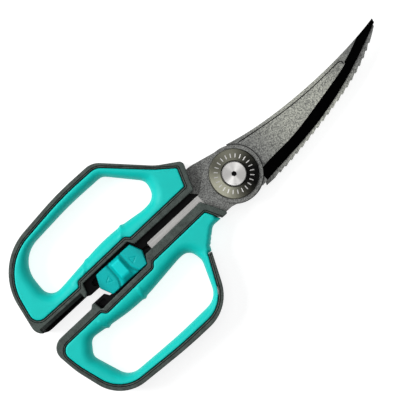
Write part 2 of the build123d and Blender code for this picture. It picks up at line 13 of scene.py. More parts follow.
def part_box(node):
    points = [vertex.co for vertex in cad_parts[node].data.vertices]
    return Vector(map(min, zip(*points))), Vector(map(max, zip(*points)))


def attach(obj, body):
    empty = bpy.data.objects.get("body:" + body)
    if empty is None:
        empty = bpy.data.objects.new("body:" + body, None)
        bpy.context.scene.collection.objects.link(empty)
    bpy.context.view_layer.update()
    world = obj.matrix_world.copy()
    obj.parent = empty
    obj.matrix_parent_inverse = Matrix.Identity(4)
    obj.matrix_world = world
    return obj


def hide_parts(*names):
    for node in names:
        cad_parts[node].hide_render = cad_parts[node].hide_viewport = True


bl_info = {
    "name": "Poultry Shears",
    "version": (1, 0, 0),
    "blender": (4, 5, 0),
    "location": "View3D > Sidebar > Shears",
    "description": "Poultry shears with cushioned handles and a slide lock",
    "category": "Add Mesh",
}

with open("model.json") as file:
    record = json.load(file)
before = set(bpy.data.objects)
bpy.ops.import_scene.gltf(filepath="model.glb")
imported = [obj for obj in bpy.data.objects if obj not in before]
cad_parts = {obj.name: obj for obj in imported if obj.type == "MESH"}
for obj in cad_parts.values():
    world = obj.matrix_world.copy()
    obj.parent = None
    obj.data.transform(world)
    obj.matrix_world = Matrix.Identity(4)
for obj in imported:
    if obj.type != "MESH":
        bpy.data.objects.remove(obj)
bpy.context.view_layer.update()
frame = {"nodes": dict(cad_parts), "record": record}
MM = 0.001
CARPET_WELD = 1e-6
FINE_WELD = 1e-7
SHARP_ANGLE = math.radians(38)


def top_of(node):
    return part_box(node)[1][2]


def base_of(node):
    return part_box(node)[0][2]


# ------------------------------------------------------------------ settings
def length(name, description, default):
    return bpy.props.FloatProperty(
        name=name, description=description, default=default, subtype="DISTANCE", unit="LENGTH", precision=5
    )


def colour(name, description, default):
    return bpy.props.FloatVectorProperty(
        name=name, description=description, default=default, subtype="COLOR", size=3, min=0, max=1
    )


class ShearSizes(bpy.types.PropertyGroup):
    loop_round: length("Loop round", "Largest width of the rubber's roll into a finger loop", 7.0 * MM)
    edge_round: length("Edge round", "Small round where the rubber meets the rim", 0.7 * MM)
    flank_round: length("Flank round", "Round along the rubber's bare flank", 3.0 * MM)
    grip_step: length("Grip step", "Spacing of the points over the rubber", 0.9 * MM)
    rib_height: length("Rib height", "How far a finger rib stands out of the rubber", 1.1 * MM)
    rib_width: length("Rib width", "Width of a finger rib", 3.0 * MM)
    saddle_width: length("Saddle width", "Flat top of the lock button's saddle", 5.2 * MM)
    saddle_flank: length("Saddle flank", "Width of the hollow on each side of the saddle", 2.6 * MM)
    # the dark line is a thin black strip that paints shade along the inner edge of the front blade's rim
    line_width: length("Line width", "Width of the dark line round the blade's panel", 0.55 * MM)
    mark_count: bpy.props.IntProperty(
        name="Mark count", description="Number of radial marks on the pivot disc", default=24
    )
    mark_orbit: length("Mark orbit", "Radius of the circle that the marks stand on", 10.7 * MM)
    mark_length: length("Mark length", "Length of a radial mark on the pivot disc", 2.6 * MM)
    mark_width: length("Mark width", "Width of a radial mark", 0.55 * MM)


class ShearColours(bpy.types.PropertyGroup):
    rubber: colour("Rubber", "Soft teal overmould", (0.002, 0.500, 0.448))
    button: colour("Button", "Teal lock button", (0.001, 0.400, 0.392))
    slate: colour("Slate", "Hard handle frame", (0.058, 0.072, 0.065))
    # coal is the black nylon's own colour; the frames also take it as painted shade in the slot and the rim's
    # groove, and so does the dark strip on the blade
    coal: colour("Coal", "Recessed black nylon", (0.0006, 0.0007, 0.0008))
    coating: colour("Coating", "Grained blade coating", (0.150, 0.152, 0.145))
    # grind is a near-black tone that paints the dark reflection on the blades' polished grind, and painted
    # shade in the corner round the disc's raised ring
    grind: colour("Grind", "Dark polished grind", (0.004, 0.004, 0.004))
    steel: colour("Steel", "Bright bare steel", (0.50, 0.49, 0.475))
    gunmetal: colour("Gunmetal", "Spun pivot disc", (0.20, 0.20, 0.195))


# ------------------------------------------------------------------ shader kit
class Socket:
    """A node's output, as a value for ordinary expressions, each of which adds a Math node."""

    def __init__(self, paint, output):
        self.paint = paint
        self.output = output

    def _math(self, operation, first, second):
        return self.paint.node("ShaderNodeMath", {"operation": operation}, [first, second])

    def __add__(self, other):
        return self._math("ADD", self, other)

    def __radd__(self, other):
        return self._math("ADD", other, self)

    def __sub__(self, other):
        return self._math("SUBTRACT", self, other)

    def __rsub__(self, other):
        return self._math("SUBTRACT", other, self)

    def __mul__(self, other):
        return self._math("MULTIPLY", self, other)

    def __gt__(self, other):
        return self._math("GREATER_THAN", self, other)

    def __lt__(self, other):
        return self._math("LESS_THAN", self, other)

    def __pow__(self, other):
        return self._math("POWER", self, other)


class Paint:
    """One procedural material."""

    def __init__(self, name):
        self.material = bpy.data.materials.new(name + "_finish")
        self.material.use_nodes = True
        self.nodes = self.material.node_tree.nodes
        self.links = self.material.node_tree.links
        self.shader = self.nodes["Principled BSDF"]
        self.place = self.node("ShaderNodeTexCoord", {}, [], "Object")

    def node(self, kind, settings, values, output=0):
        """A node of this kind, its settings made first, then the values or links of its sockets."""
        made = self.nodes.new(kind)
        for key, value in settings.items():
            setattr(made, key, value)
        pairs = values.items() if isinstance(values, dict) else enumerate(values)
        for key, value in pairs:
            if isinstance(value, Socket):
                self.links.new(value.output, made.inputs[key])
            else:
                made.inputs[key].default_value = value
        return Socket(self, made.outputs[output])

    def axis(self, letter):
        return self.node("ShaderNodeSeparateXYZ", {}, [self.place], letter)

    def slope(self):
        """The upward part of the face's own normal: 1 on a level top, -1 on a level underside."""
        normal = self.node("ShaderNodeNewGeometry", {}, [], "True Normal")
        return self.node("ShaderNodeSeparateXYZ", {}, [normal], "Z")

    def from_pivot(self):
        """The level vector from the pivot's axis, and its length."""
        flat = self.node("ShaderNodeVectorMath", {"operation": "MULTIPLY"}, [self.place, (1, 1, 0)])
        return flat, self.node("ShaderNodeVectorMath", {"operation": "LENGTH"}, [flat], "Value")

    def noise(self, scale, detail=2.0, roughness=0.5, place=None):
        return self.node(
            "ShaderNodeTexNoise", {},
            {"Vector": place or self.place, "Scale": scale, "Detail": detail, "Roughness": roughness}, "Fac",
        )

    def grain(self, scale):
        return self.node("ShaderNodeTexVoronoi", {}, {"Vector": self.place, "Scale": scale}, "Distance")

    def ramp(self, factor, low, high):
        """Rises smoothly from 0 at low to 1 at high."""
        return self.node(
            "ShaderNodeMapRange", {"interpolation_type": "SMOOTHSTEP"},
            {"Value": factor, "From Min": low, "From Max": high},
        )

    def tint(self, factor, first, second):
        """The first colour where the factor is 0, the second where it is 1."""
        wide = [tone if isinstance(tone, Socket) else (*tone, 1.0) for tone in (first, second)]
        return self.node(
            "ShaderNodeMix", {"data_type": "RGBA"}, {0: factor, 6: wide[0], 7: wide[1]}, 2
        )

    def bump(self, height, depth, strength, under=None):
        """A bumped normal, over another normal where one is given."""
        values = {"Height": height, "Distance": depth, "Strength": strength}
        if under is not None:
            values["Normal"] = under
        return self.node("ShaderNodeBump", {}, values, "Normal")

    def soft_edges(self, radius):
        return self.node("ShaderNodeBevel", {"samples": 6}, {"Radius": radius}, "Normal")

    def finish(self, **sockets):
        """Sets the shader's sockets, named as in base_color, and returns the material."""
        for key, value in sockets.items():
            name = key.replace("_", " ").title().replace("Ior", "IOR")
            if isinstance(value, Socket):
                self.links.new(value.output, self.shader.inputs[name])
            else:
                self.shader.inputs[name].default_value = value
        return self.material


def shade(tone, factor):
    return tuple(channel * factor for channel in tone)


# ------------------------------------------------------------------ materials
def coated_steel(colours):
    """The blades: a grained coat on the flats, a near-black tone on the polished grind as a painted dark
    reflection, bare steel on the front tang.
    """
    paint = Paint("coated_steel")
    levelness = paint.node("ShaderNodeMath", {"operation": "ABSOLUTE"}, [paint.slope()])
    ground = (levelness > 0.42) * (levelness < 0.9985)
    along, height = paint.axis("X"), paint.axis("Z")
    tang_start = -24.4 * MM
    rear_blade_top = 8.5 * MM
    bare = (along < tang_start) * (height > rear_blade_top)
    fine = paint.noise(1450, 3.0, 0.75)
    cloud = paint.noise(260, 4.0, 0.6)
    coat = paint.tint(paint.ramp(fine + cloud * 0.2, 0.42, 0.78),
                      shade(colours.coating, 0.24), shade(colours.coating, 1.75))
    # the coat is paler over the middle of the front blade's panel and darker towards the pivot and at its tip
    lightened = paint.ramp(along, 12 * MM, 52 * MM) * (1 - paint.ramp(along, 70 * MM, 104 * MM))
    pale = paint.tint(paint.ramp(fine, 0.36, 0.66), shade(colours.coating, 1.1), (0.80, 0.81, 0.68))
    coat = paint.tint(lightened * 0.60, coat, pale)
    # painted shade: a dark ring in the corner where the raised ring round the disc meets the blade
    _, radius = paint.from_pivot()
    corner = paint.ramp(radius, 16.9 * MM, 17.2 * MM) * (1 - paint.ramp(radius, 17.5 * MM, 17.9 * MM))
    coat = paint.tint(corner * (along > 4 * MM) * 0.85, coat, colours.grind)
    brushed = paint.node("ShaderNodeMapping", {}, {"Vector": paint.place, "Scale": (40, 2600, 2600)})
    streaks = paint.noise(1.0, 3.0, 0.6, brushed)
    steel = paint.tint(streaks, shade(colours.steel, 0.34), shade(colours.steel, 0.98))
    # painted dark reflection: the grind takes the near-black grind tone, a little lighter in random patches
    polish = paint.tint(paint.noise(260, 3.0), colours.grind, shade(colours.grind, 2.0))
    tone = paint.tint(bare, paint.tint(ground, coat, polish), steel)
    # the grind is fully metallic with a near-black tone, a painted dark reflection, so that it mirrors no
    # more than that tone
    metal = bare * 0.95 + (1 - bare) * (ground + (1 - ground) * 0.25)
    rough = 0.50 - ground * 0.26 - bare * 0.14 + cloud * 0.06
    pitted = paint.bump(fine, 0.09 * MM, 0.7, paint.soft_edges(0.18 * MM))
    return paint.finish(base_color=tone, metallic=metal, roughness=rough, normal=pitted,
                        specular_ior_level=0.3)


def spun_normal(paint, pitch, tilt):
    """The surface's normal, rocked in and out along the radius as turned metal's is."""
    flat, radius = paint.from_pivot()
    outward = paint.node("ShaderNodeVectorMath", {"operation": "NORMALIZE"}, [flat])
    to_world = {"vector_type": "VECTOR", "convert_from": "OBJECT", "convert_to": "WORLD"}
    outward = paint.node("ShaderNodeVectorTransform", to_world, [outward])
    wave = paint.node("ShaderNodeMath", {"operation": "SINE"}, [radius * (2 * math.pi / pitch)])
    pushed = paint.node("ShaderNodeVectorMath", {"operation": "SCALE"}, {0: outward, "Scale": wave * tilt})
    normal = paint.node("ShaderNodeNewGeometry", {}, [], "Normal")
    total = paint.node("ShaderNodeVectorMath", {"operation": "ADD"}, [normal, pushed])
    return paint.node("ShaderNodeVectorMath", {"operation": "NORMALIZE"}, [total])


def conic(paint, lobes):
    """Painted light fanned about the pivot, the reflection that a turned face shows. A lobe is a heading,
    sharpness and strength.
    """
    x, y = paint.axis("X"), paint.axis("Y")
    bearing = paint.node("ShaderNodeMath", {"operation": "ARCTAN2"}, [y, x])
    total = None
    for heading, sharpness, strength in lobes:
        facing = paint.node("ShaderNodeMath", {"operation": "COSINE"}, [bearing - math.radians(heading)])
        lobe = ((facing * 0.5 + 0.5) ** sharpness) * strength
        total = lobe if total is None else total + lobe
    return total


def turned_steel(colours):
    paint = Paint("bright_steel")
    # painted reflection: bright and dark lobes fanned about the pivot, between a shaded and a lit copy of the
    # steel
    fan = conic(paint, [(28, 16, 0.62), (-152, 20, 0.80), (84, 40, 0.30), (-104, 60, 0.45)])
    tone = paint.tint(fan + paint.noise(700, 3.0) * 0.12,
                      shade(colours.steel, 0.58), shade(colours.steel, 1.40))
    # painted shade on the pivot's axis below the head's face, inside the hex socket; the same mask also
    # darkens the middle of the nut
    _, radius = paint.from_pivot()
    below_face = paint.axis("Z") < 14.9 * MM
    socket_shade = (1 - paint.ramp(radius, 1.45 * MM, 1.60 * MM)) * below_face
    tone = paint.tint(socket_shade, tone, (0.004, 0.004, 0.004))
    return paint.finish(base_color=tone, metallic=1.0, roughness=paint.noise(1500) * 0.1 + 0.3,
                        normal=spun_normal(paint, 0.31 * MM, 0.10))


def spun_gunmetal(colours):
    """Dark turned metal with painted reflections fanned about the pivot, a painted highlight on its rim, and
    painted shade round the screw's head.
    """
    paint = Paint("gunmetal")
    _, radius = paint.from_pivot()
    # painted highlight on the disc's rim and painted shade round the screw's head
    rim = paint.ramp(radius, 13.9 * MM, 14.4 * MM)
    throat_shade = 1 - paint.ramp(radius, 7.6 * MM, 8.2 * MM)
    # painted reflection: lobes fanned about the pivot, between a shaded and a lit copy of the gunmetal
    fan = conic(paint, [(-174, 5, 1.15), (66, 7, 0.44)]) + paint.noise(420, 4.0) * 0.06 - 0.03
    dark = shade(colours.gunmetal, 0.02)
    light = tuple(channel * lift for channel, lift in zip(colours.gunmetal, (1.42, 1.40, 1.12)))
    tone = paint.tint(fan * (rim * 0.5 + 1), dark, light)
    tone = paint.tint(throat_shade * 0.8, tone, dark)
    return paint.finish(base_color=tone, metallic=1.0, roughness=paint.noise(1100) * 0.1 + 0.34,
                        normal=spun_normal(paint, 0.37 * MM, 0.08))


def slate_nylon(colours):
    """The handle frames: slate, with near-black painted shade in the slot between the handles and in the
    rim's groove.
    """
    paint = Paint("slate_nylon")
    height = paint.axis("Z")
    across = paint.axis("Y")
    # painted shade: near black in the slot between the handles, below the frames' tops, and on the floor of
    # the rim's groove
    slot = paint.ramp(across, -8.6 * MM, -7.4 * MM) * (1 - paint.ramp(across, 12.6 * MM, 13.6 * MM))
    below_top = 1 - paint.ramp(height, 12.3 * MM, 13.0 * MM)
    above_base = paint.ramp(height, 0.9 * MM, 1.4 * MM)
    recess_shade = slot * below_top * above_base
    groove_shade = (height > 15.7 * MM) * (height < 16.1 * MM) * (paint.slope() > 0.99)
    fine = paint.noise(1700, 2.0, 0.6)
    cloud = paint.noise(240, 4.0, 0.6)
    slate = paint.tint(paint.ramp(cloud * 0.5 + fine * 0.6, 0.38, 0.72), shade(colours.slate, 0.62),
                       shade(colours.slate, 1.38))
    tone = paint.tint(recess_shade + groove_shade * 0.9, slate, colours.coal)
    grained = paint.bump(fine, 0.05 * MM, 0.5, paint.soft_edges(0.4 * MM))
    return paint.finish(base_color=tone, roughness=0.45 + cloud * 0.14, normal=grained,
                        specular_ior_level=0.10)


def black_nylon(colours):
    paint = Paint("black_nylon")
    fine = paint.grain(2400)
    tone = paint.tint(paint.noise(400, 3.0), colours.coal, shade(colours.coal, 2.2))
    return paint.finish(base_color=tone, roughness=0.4 + fine * 0.15, specular_ior_level=0.08,
                        normal=paint.bump(fine, 0.04 * MM, 0.5, paint.soft_edges(0.3 * MM)))


def soft_rubber(colours):
    """Teal with a faint cloudiness and a few darker specks."""
    paint = Paint("teal_rubber")
    fine = paint.grain(2900)
    cloud = paint.noise(170, 4.0, 0.55)
    specks = paint.ramp(paint.noise(900, 1.0), 0.74, 0.80)
    body = paint.tint(cloud, shade(colours.rubber, 0.93), shade(colours.rubber, 1.07))
    body = paint.tint(specks * 0.25, body, shade(colours.rubber, 0.55))
    return paint.finish(base_color=body, roughness=0.46 + fine * 0.08 + cloud * 0.05,
                        specular_ior_level=0.20, normal=paint.bump(fine, 0.03 * MM, 0.45))


def button_plastic(colours):
    """Teal with a painted highlight on the top of the saddle and painted shade in its hollows."""
    paint = Paint("teal_plastic")
    height = paint.axis("Z")
    fine = paint.noise(1300, 3.0, 0.6)
    body = paint.tint(fine, shade(colours.button, 0.84), shade(colours.button, 1.12))
    # painted shade in the hollows beside the saddle and a painted highlight on its top
    hollow = 1 - paint.ramp(height, 14.1 * MM, 14.75 * MM)
    lightened = paint.ramp(height, 15.9 * MM, 16.6 * MM)
    body = paint.tint(hollow, body, shade(colours.button, 0.55))
    body = paint.tint(lightened, body, shade(colours.button, 1.4))
    return paint.finish(base_color=body, roughness=0.38 + fine * 0.1, specular_ior_level=0.12,
                        normal=paint.bump(fine, 0.04 * MM, 0.5))


def rolled_steel(colours):
    paint = Paint("spring_steel")
    streaks = paint.noise(800, 3.0, 0.6)
    tone = paint.tint(streaks, shade(colours.steel, 0.5), shade(colours.steel, 0.8))
    return paint.finish(base_color=tone, metallic=1.0, roughness=0.25 + streaks * 0.2,
                        normal=paint.bump(streaks, 0.02 * MM, 0.4))


def slip_plastic():
    paint = Paint("bearing_plastic")
    cloud = paint.noise(500, 3.0)
    return paint.finish(base_color=paint.tint(cloud, (0.72, 0.72, 0.68), (0.82, 0.82, 0.79)),
                        roughness=0.35 + cloud * 0.1, normal=paint.bump(cloud, 0.02 * MM, 0.3))


def bearing_bronze():
    paint = Paint("bronze")
    cloud = paint.noise(600, 3.0)
    tone = paint.tint(cloud, (0.46, 0.29, 0.12), (0.62, 0.42, 0.2))
    return paint.finish(base_color=tone, metallic=1.0, roughness=0.28 + cloud * 0.12,
                        normal=spun_normal(paint, 0.3 * MM, 0.15))


def pale_floor():
    """White ground that gives off some light of its own, so that shadows on it stay faint."""
    paint = Paint("pale_floor")
    cloud = paint.noise(3, 3.0)
    tone = paint.tint(cloud, (0.36, 0.36, 0.36), (0.38, 0.38, 0.38))
    return paint.finish(base_color=tone, roughness=0.8, emission_color=(1.0, 1.0, 1.0, 1.0),
                        emission_strength=0.80)


def material(slot_name):
    """The finish of a material slot, made once."""
    ready = bpy.data.materials.get(slot_name + "_finish")
    if ready is not None:
        return ready
    colours = bpy.context.scene.shear_colours
    makers = {
        "coated_steel": lambda: coated_steel(colours),
        "bright_steel": lambda: turned_steel(colours),
        "gunmetal": lambda: spun_gunmetal(colours),
        "slate_nylon": lambda: slate_nylon(colours),
        "black_nylon": lambda: black_nylon(colours),
        "teal_rubber": lambda: soft_rubber(colours),
        "teal_plastic": lambda: button_plastic(colours),
        "spring_steel": lambda: rolled_steel(colours),
        "bearing_plastic": slip_plastic,
        "bronze": bearing_bronze,
    }
    return makers[slot_name]()


def wear(node):
    """Gives a carried-over CAD node the finish of its slot."""
    slots = {entry["node"]: entry["material_slot"] for entry in frame["record"]["subparts"]}
    made = frame["nodes"][node]
    made.data.materials.clear()
    made.data.materials.append(material(slots[node]))


# ------------------------------------------------------------------ outlines
def section(node, height):
    """The closed outlines where a level plane cuts a CAD node, largest first."""
    cut = bmesh.new()
    cut.from_mesh(frame["nodes"][node].data)
    bmesh.ops.remove_doubles(cut, verts=cut.verts, dist=CARPET_WELD)
    found = bmesh.ops.bisect_plane(cut, geom=[*cut.verts, *cut.edges, *cut.faces], dist=FINE_WELD,
                                   plane_co=(0, 0, height), plane_no=(0, 0, 1))
    # a dict keeps the edges in their order, so that the outlines start at the same places each run
    edges = dict.fromkeys(item for item in found["geom_cut"] if isinstance(item, bmesh.types.BMEdge))
    loops = []
    while edges:
        edge, _ = edges.popitem()
        first, vertex = edge.verts
        walk = [first, vertex]
        while vertex is not first:
            following = next((other for other in vertex.link_edges if other in edges), None)
            if following is None:
                break
            del edges[following]
            vertex = following.other_vert(vertex)
            walk.append(vertex)
        loops.append(np.array([vert.co.xy for vert in walk[:-1]]))
    cut.free()
    return sorted(loops, key=lambda loop: -np.ptp(loop[:, 0]))


def evenly(loop, step):
    """The same closed outline, anticlockwise, in about even steps."""
    x, y = loop.T
    if np.sum(x * np.roll(y, -1) - y * np.roll(x, -1)) < 0:
        loop = loop[::-1]
    closed = np.vstack([loop, loop[:1]])
    reach = np.concatenate([[0], np.cumsum(np.linalg.norm(np.diff(closed, axis=0), axis=1))])
    at = np.linspace(0, reach[-1], max(8, round(reach[-1] / step)), endpoint=False)
    return np.stack([np.interp(at, reach, closed[:, 0]), np.interp(at, reach, closed[:, 1])], axis=1)


def eased(loop, times):
    """The outline with its corners and its small steps smoothed."""
    for _ in range(times):
        loop = 0.25 * np.roll(loop, 1, axis=0) + 0.5 * loop + 0.25 * np.roll(loop, -1, axis=0)
    return loop


def inward(loop):
    """Unit vectors to the left of an anticlockwise outline, which is its inside."""
    along = np.roll(loop, -1, axis=0) - np.roll(loop, 1, axis=0)
    along /= np.linalg.norm(along, axis=1)[:, None]
    return np.stack([-along[:, 1], along[:, 0]], axis=1)


def gap_to(points, start, end):
    """Distance of each point to the nearest of some straight runs."""
    nearest = np.full(len(points), np.inf)
    for a, b in zip(start, end):
        run = b - a
        share = np.clip(((points - a) @ run) / max(run @ run, 1e-18), 0, 1)
        nearest = np.minimum(nearest, np.linalg.norm(points - a - share[:, None] * run, axis=1))
    return nearest


def gap_to_loop(points, loop):
    return gap_to(points, loop, np.roll(loop, -1, axis=0))


def within(points, loop):
    """Which points lie inside a closed outline: a level ray from them crosses it an odd number of times."""
    crossed = np.zeros(len(points), bool)
    x, y = points.T
    for (ax, ay), (bx, by) in zip(loop, np.roll(loop, -1, axis=0)):
        spans = (ay > y) != (by > y)
        if spans.any():
            crossed ^= spans & (x < (bx - ax) * (y - ay) / (by - ay + 1e-18) + ax)
    return crossed


def carpet(outer, hole, step, rings_out, rings_in):
    """Points and triangles that fill an outline, with closer rows along its edges."""
    rows = [outer]
    if hole is not None:
        rows.append(hole)
    # a row's point is dropped where another stretch of the outline is nearer than its own
    true_share = 0.9
    loose = []
    for depth in rings_out:
        row = outer + inward(outer) * depth
        loose.append(row[gap_to_loop(row, outer) > true_share * depth])
    for depth in rings_in if hole is not None else ():
        row = hole - inward(hole) * depth
        row = row[gap_to_loop(row, hole) > true_share * depth]
        loose.append(row[gap_to_loop(row, outer) > rings_out[-1] * 1.2])
    # the middle is filled with a field of near-equilateral triangles
    low, high = outer.min(axis=0), outer.max(axis=0)
    row_pitch = step * 0.87
    xs, ys = np.meshgrid(np.arange(low[0], high[0], step), np.arange(low[1], high[1], row_pitch))
    xs[1::2] += step / 2
    field = np.stack([xs.ravel(), ys.ravel()], axis=1)
    field = field[within(field, outer)]
    margin = 0.4 * step
    field = field[gap_to_loop(field, outer) > rings_out[-1] + margin]
    if hole is not None:
        field = field[~within(field, hole)]
        field = field[gap_to_loop(field, hole) > rings_in[-1] + margin]
    points = np.vstack(rows + loose + [field])
    edges, start = [], 0
    for row in rows:
        edges += [(start + i, start + (i + 1) % len(row)) for i in range(len(row))]
        start += len(row)
    made, _, faces, origin, _, _ = delaunay_2d_cdt([Vector(point) for point in points], edges, [], 0, 1e-7)
    flat = np.array([point[:] for point in made])
    middles = np.array([flat[list(face)].mean(axis=0) for face in faces])
    keep = within(middles, outer)
    if hole is not None:
        keep &= ~within(middles, hole)
    faces = [tuple(face) for face, kept in zip(faces, keep) if kept]
    # which of the new points came from the outer outline and which from the hole
    place = {old: new for new, olds in enumerate(origin) for old in olds}
    outer_row = [place[i] for i in range(len(outer))]
    hole_row = [place[i + len(outer)] for i in range(len(hole))] if hole is not None else []
    return flat, faces, outer_row, hole_row


def solid_from(name, flat, faces, top, bottom, outer_row, hole_row):
    """A closed mesh: the carpet raised to its top, again at its bottom, and walls between the edges."""
    count = len(flat)
    verts = [(x, y, z) for (x, y), z in zip(flat, top)] + [(x, y, z) for (x, y), z in zip(flat, bottom)]
    shell = [tuple(face) for face in faces] + [tuple(count + i for i in reversed(face)) for face in faces]
    for row in (outer_row, hole_row):
        for here, there in zip(row, row[1:] + row[:1]):
            shell.append((here, there, there + count, here + count))
    mesh = bpy.data.meshes.new(name)
    mesh.from_pydata(verts, [], shell)
    return finish_mesh(name, mesh, CARPET_WELD)


def finish_mesh(name, mesh, weld):
    """An object of this mesh, its points closer than weld joined, smooth but for its sharp edges."""
    tidy = bmesh.new()
    tidy.from_mesh(mesh)
    bmesh.ops.remove_doubles(tidy, verts=tidy.verts, dist=weld)
    bmesh.ops.recalc_face_normals(tidy, faces=tidy.faces)
    tidy.to_mesh(mesh)
    tidy.free()
    mesh.shade_smooth()
    mesh.set_sharp_from_angle(angle=SHARP_ANGLE)
    made = bpy.data.objects.new(name, mesh)
    bpy.context.collection.objects.link(made)
    return made


def mount_piece(made, body, slot_name, *nodes):
    """Gives a piece its finish and its body, and lets it stand for the CAD nodes named."""
    made.data.materials.clear()
    made.data.materials.append(material(slot_name))
    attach(made, body)
    if nodes:
        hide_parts(*nodes)


# ------------------------------------------------------------------ rubber grips
def roll(distance, width):
    """Height of a quarter round at this distance from its edge, from 0 to 1."""
    share = np.clip(distance / width, 0, 1)
    return np.sqrt(np.clip(1 - (1 - share) ** 2, 0, 1))


def bulge(loop, spot, reach):
    """A bell from 1 at a spot, given in millimetres, towards 0 further along the outline."""
    return np.exp(-(np.linalg.norm(loop - np.array(spot) * MM, axis=1) / reach) ** 2)


def rubber_grip(name, node, ribs, notches, bare_flank):
    """An overmould: level near the rim, rolled into the finger loop, with raised finger ribs."""
    sizes = bpy.context.scene.shear_sizes
    low, high = base_of(node), top_of(node)
    middle = (low + high) / 2
    below_rounds = high - 4.0 * MM
    outline, loop = section(node, below_rounds)[:2]
    outer = eased(evenly(outline, 0.55 * MM), 2)
    hole = eased(evenly(loop, 0.6 * MM), 6)
    # a rib swells the loop's edge where it ends, and a notch dents the outer edge
    into_loop = inward(hole)
    for _, end in ribs:
        hole = hole + into_loop * (bulge(hole, end, sizes.rib_width * 0.45) * sizes.rib_height)[:, None]
    notch_reach, notch_depth = 0.5 * MM, 0.45 * MM
    for spot in notches:
        outer = outer + inward(outer) * (bulge(outer, spot, notch_reach) * notch_depth)[:, None]
    rim_rows = [depth * MM for depth in (0.12, 0.35, 0.75)]
    loop_rows = [depth * MM for depth in (0.05, 0.18, 0.4, 0.75, 1.2, 1.8, 2.5)]
    flat, faces, outer_row, hole_row = carpet(outer, hole, sizes.grip_step, rim_rows, loop_rows)
    to_rim = gap_to_loop(flat, outer)
    to_hole = gap_to_loop(flat, hole)
    to_rim[outer_row] = 0.0
    to_hole[hole_row] = 0.0
    half = middle - low
    lift = sizes.rib_height * 0.55
    narrowest_round = 2.5 * MM
    round_width = np.clip((to_rim + to_hole) * 0.86, narrowest_round, sizes.loop_round)
    edge_width = np.full(len(flat), sizes.edge_round)
    edge_drop = np.full(len(flat), sizes.edge_round)
    if bare_flank:
        flank_reach = 4.5 * MM
        beside = np.minimum(1, 2 * np.clip(1 - gap_to(flat, *bare_flank) / flank_reach, 0, 1))
        edge_width += (sizes.flank_round - sizes.edge_round) * beside
        edge_drop += (half * 0.6 - sizes.edge_round) * beside
    height = (half - lift) * roll(to_hole, round_width)
    height -= edge_drop * (1 - roll(to_rim, edge_width)) * (to_hole > 0)
    # a rib dies out over these lengths before the rim and before the finger loop
    fade = np.minimum(1, to_rim / (1.5 * MM)) * np.minimum(1, to_hole / (0.8 * MM))
    for start, end in ribs:
        across = gap_to(flat, [np.array(start) * MM], [np.array(end) * MM]) / (sizes.rib_width / 2)
        height += lift * np.clip(1 - across ** 2, 0, 1) ** 1.5 * fade
    height = np.clip(height, 0, half)
    return solid_from(name, flat, faces, middle + height, middle - height, outer_row, hole_row)


class SHEARS_OT_upper_grip(bpy.types.Operator):
    """Makes the teal overmould of the upper handle"""

    bl_idname = "shears.upper_grip"
    bl_label = "Upper Grip"

    def execute(self, context):
        made = rubber_grip("upper_rubber", "upper_grip",
                           ribs=[((-103.6, 15.6), (-98.6, 22.0)), ((-73.8, 16.6), (-69.8, 22.6))],
                           notches=[], bare_flank=None)
        mount_piece(made, "rear_half", "teal_rubber", "upper_grip")
        return {"FINISHED"}


class SHEARS_OT_lower_grip(bpy.types.Operator):
    """Makes the teal overmould of the lower handle, with its bare rolled flank"""

    bl_idname = "shears.lower_grip"
    bl_label = "Lower Grip"

    def execute(self, context):
        flank = np.array([(-24.5, -14.2), (-30.4, -15.0), (-35.6, -19.0), (-39.4, -24.0)]) * MM
        made = rubber_grip("lower_rubber", "lower_grip",
                           ribs=[((-116.2, -11.6), (-114.6, -17.8)), ((-86.0, -12.0), (-87.2, -19.8))],
                           notches=[(-36.6, -19.9), (-34.4, -18.1), (-38.2, -22.0)],
                           bare_flank=(flank[:-1], flank[1:]))
        mount_piece(made, "front_half", "teal_rubber", "lower_grip")
        return {"FINISHED"}


